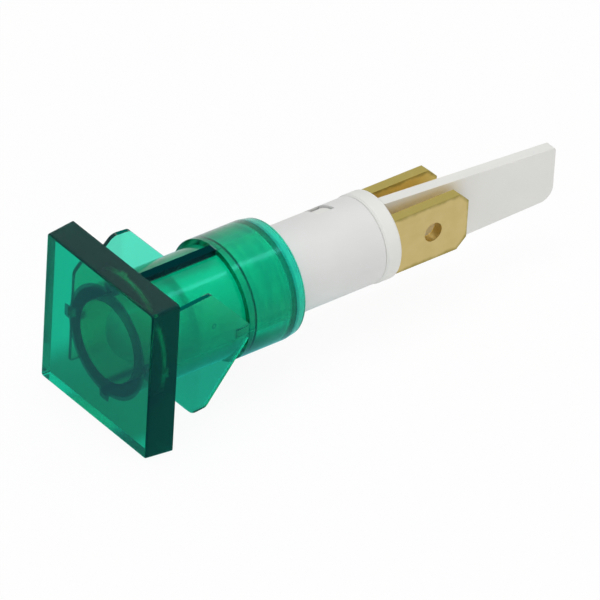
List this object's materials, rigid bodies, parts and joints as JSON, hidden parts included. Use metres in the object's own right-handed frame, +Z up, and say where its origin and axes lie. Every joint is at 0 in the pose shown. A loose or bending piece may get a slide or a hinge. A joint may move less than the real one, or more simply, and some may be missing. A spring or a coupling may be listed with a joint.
{
  "type": "panel pilot light",
  "caption": "Square-headed neon pilot light: green transparent snap-in lens with two wings, white lamp tube, brass push-on tabs and a barrier blade between them.",
  "frame": {"origin": "centre of the head's back face, on the plane of the panel's front surface", "axes": "+Y along the lamp axis from the head to the tabs (the head looks toward -Y), +Z up, +X to the right seen from the front; the two tabs lie at +X and -X"},
  "size_m": [0.0126, 0.0415, 0.0126],
  "materials": {
    "lens_green": "clear green, polished",
    "white_plastic": "satin white",
    "brass": "stamped, satin",
    "lamp_glass": "clear",
    "nickel": "satin",
    "tinned_wire": "bright",
    "resistor_brown": "lacquered",
    "solder": "bright",
    "sleeve_plastic": "matt"
  },
  "bodies": {
    "root": {"lens_housing": "lens_green", "lamp_tube": "white_plastic", "terminal_carrier": "white_plastic", "terminal_right": "brass", "terminal_left": "brass", "lamp_envelope": "lamp_glass", "electrode_right": "nickel", "electrode_left": "nickel", "lamp_lead_right": "tinned_wire", "lamp_lead_left": "tinned_wire", "resistor_body": "resistor_brown", "resistor_cap_front": "nickel", "resistor_cap_rear": "nickel", "resistor_lead_front": "tinned_wire", "resistor_lead_rear": "tinned_wire", "lead_splice": "solder", "lead_sleeve": "sleeve_plastic", "solder_right": "solder", "solder_left": "solder"}
  },
  "joints": []
}
